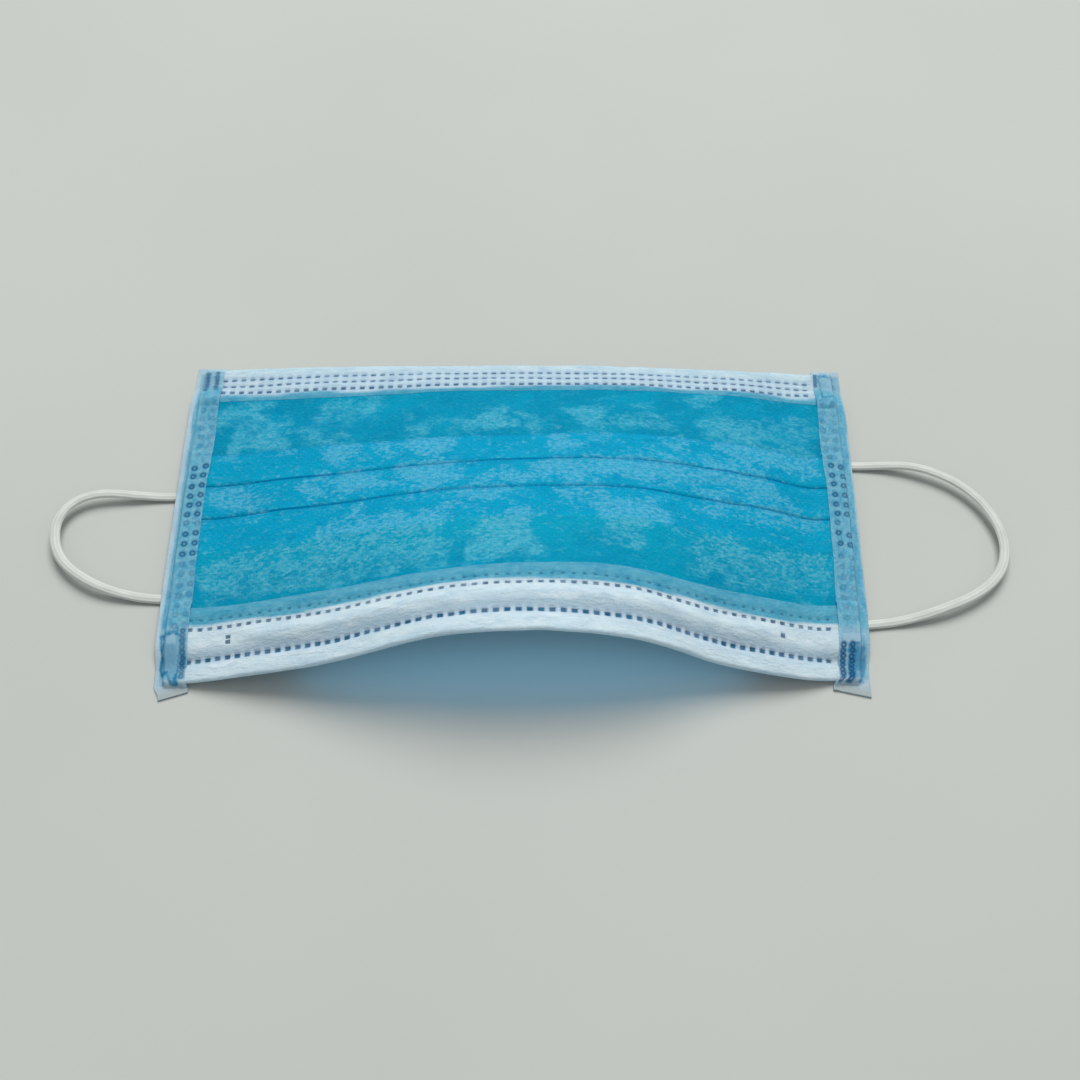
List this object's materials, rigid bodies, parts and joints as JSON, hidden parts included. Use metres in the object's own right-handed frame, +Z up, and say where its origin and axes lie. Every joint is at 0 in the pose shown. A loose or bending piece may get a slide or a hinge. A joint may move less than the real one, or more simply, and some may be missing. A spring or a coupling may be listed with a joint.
{
  "type": "surgical face mask",
  "caption": "Flat pleated cloth face mask lying on a table, its nose edge arched up, with hems, side bindings and elastic ear loops.",
  "frame": {"origin": "on the table, under the middle of the mask without its ear loops", "axes": "+X across the mask, to the right as seen from its nose edge, +Y from the nose edge to the chin edge, +Z up off the table"},
  "size_m": [0.2435, 0.1029, 0.0253],
  "materials": {
    "filter_cloth": "matte blue nonwoven cloth with a fine embossed speckle",
    "hem_cloth": "matte bluish white nonwoven cloth",
    "binding_cloth": "translucent light blue nonwoven strip with weld dots",
    "elastic": "soft white flat knitted elastic"
  },
  "bodies": {
    "root": {"pleated_panel": "filter_cloth", "nose_band": "hem_cloth", "chin_band": "hem_cloth", "side_binding_left": "binding_cloth", "side_binding_right": "binding_cloth", "ear_loop_left": "elastic", "ear_loop_right": "elastic"}
  },
  "joints": []
}
